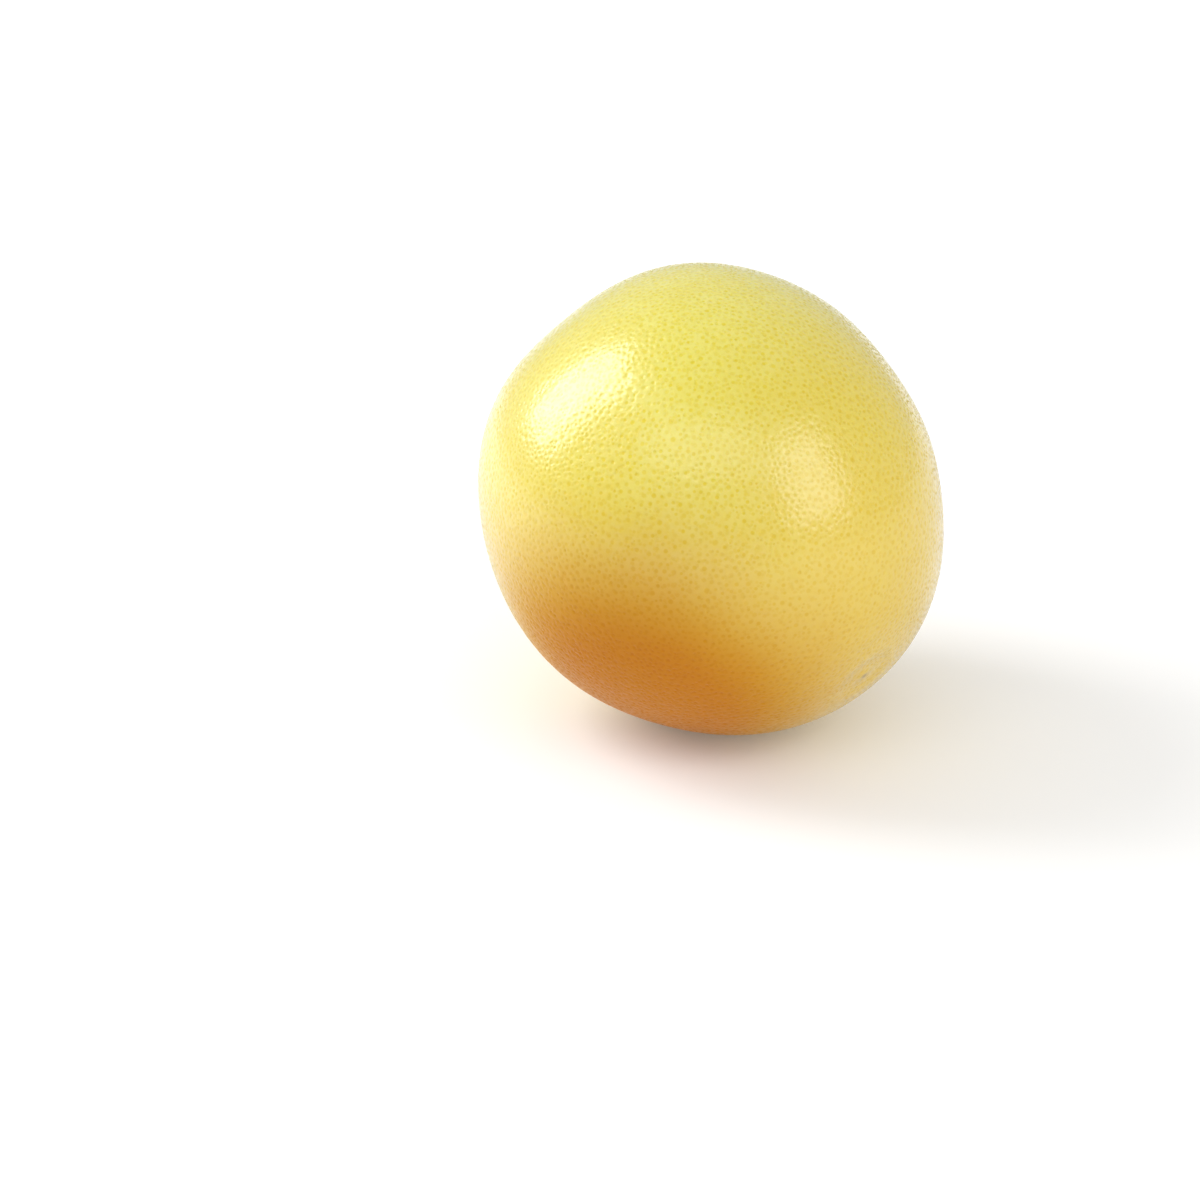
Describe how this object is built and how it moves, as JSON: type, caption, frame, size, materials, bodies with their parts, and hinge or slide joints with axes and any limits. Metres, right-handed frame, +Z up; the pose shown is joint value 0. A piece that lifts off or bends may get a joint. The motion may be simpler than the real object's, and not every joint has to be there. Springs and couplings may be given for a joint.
{
  "type": "pomelo",
  "caption": "Whole ripe pomelo with a pitted yellow rind and a small calyx with a cut stem, lying on a small flat spot.",
  "frame": {"origin": "middle of the flat spot that the fruit rests on", "axes": "+Z up; the viewer of the picture looks along +Y and down, with +X to the right; the stem end points to -X, +Y and +Z"},
  "size_m": [0.1605, 0.1617, 0.1595],
  "materials": {
    "rind": "waxy citrus rind, satin, with sunken oil glands",
    "calyx": "dry green-brown, corky"
  },
  "bodies": {
    "root": {"pomelo_fruit": "rind", "calyx_and_stem": "calyx"}
  },
  "joints": []
}
